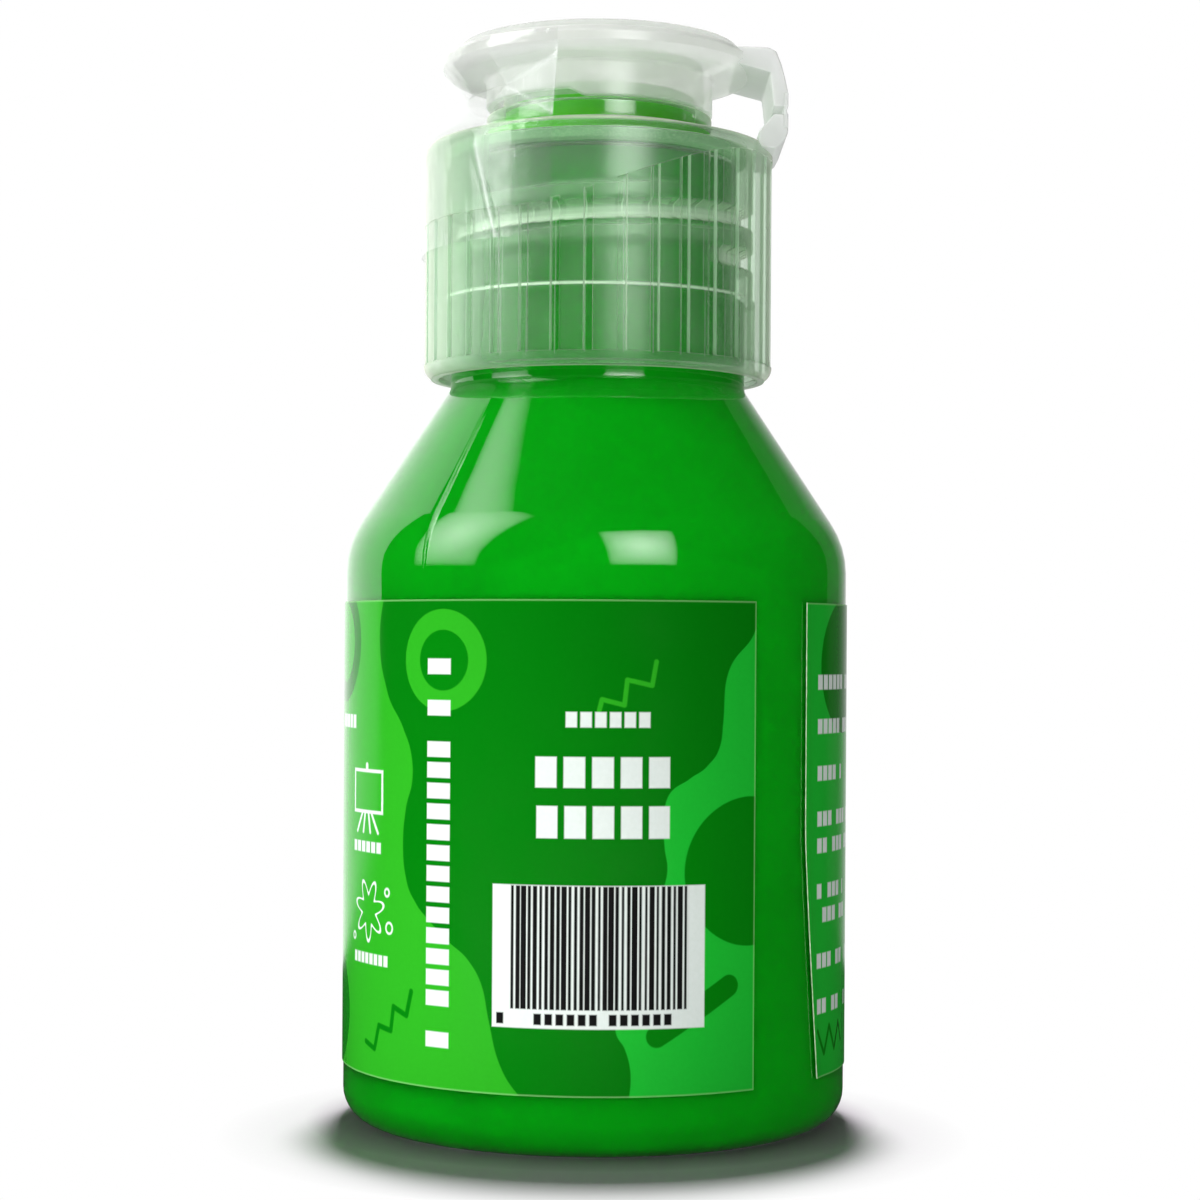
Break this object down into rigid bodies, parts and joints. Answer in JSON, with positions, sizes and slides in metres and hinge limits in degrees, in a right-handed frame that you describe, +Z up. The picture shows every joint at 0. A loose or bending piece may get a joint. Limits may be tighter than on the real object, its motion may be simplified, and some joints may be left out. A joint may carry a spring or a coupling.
{
  "type": "paint bottle",
  "caption": "Small clear screw-neck bottle of acrylic paint with a printed wrap label and a translucent ribbed flip-top dispensing cap.",
  "frame": {"origin": "centre of the base, on the surface that the bottle stands on", "axes": "+Z up along the bottle's axis, +X towards the lid's hinge, -X towards its thumb side"},
  "size_m": [0.0392, 0.0392, 0.0842],
  "materials": {
    "clear_pet": "clear blow-moulded PET, glossy",
    "green_paint": "opaque green acrylic paint, wet and glossy",
    "printed_label": "printed self-adhesive film, satin",
    "foam_gasket": "white foamed polyethylene, matte",
    "translucent_cap": "translucent natural polypropylene, satin",
    "clear_film": "clear shrink film, glossy"
  },
  "bodies": {
    "bottle": {"bottle": "clear_pet", "paint_fill": "green_paint", "wrap_label": "printed_label"},
    "gasket": {"neck_gasket": "foam_gasket"},
    "cap": {"cap_body": "translucent_cap", "spout_paint": "green_paint", "living_hinge": "translucent_cap"},
    "lid": {"flip_lid": "translucent_cap", "seal_film": "clear_film"}
  },
  "joints": [
    {"name": "cap_rise", "type": "slide", "parent": "bottle", "child": "gasket", "axis": [0, 0, 1], "range_m": [0, 0.00556]},
    {"name": "cap_turn", "type": "hinge", "parent": "gasket", "child": "cap", "pos_m": [0, 0, 0.0745], "axis": [0, 0, 1], "range_deg": [0, 630]},
    {"name": "lid_flip", "type": "hinge", "parent": "cap", "child": "lid", "pos_m": [0.01424, 0, 0.0778], "axis": [0, 1, 0], "range_deg": [0, 140], "deforming": ["living_hinge"]}
  ],
  "couplings": [
    {"joint": "cap_turn", "follows": "cap_rise", "rad_per_m": 1979}
  ]
}
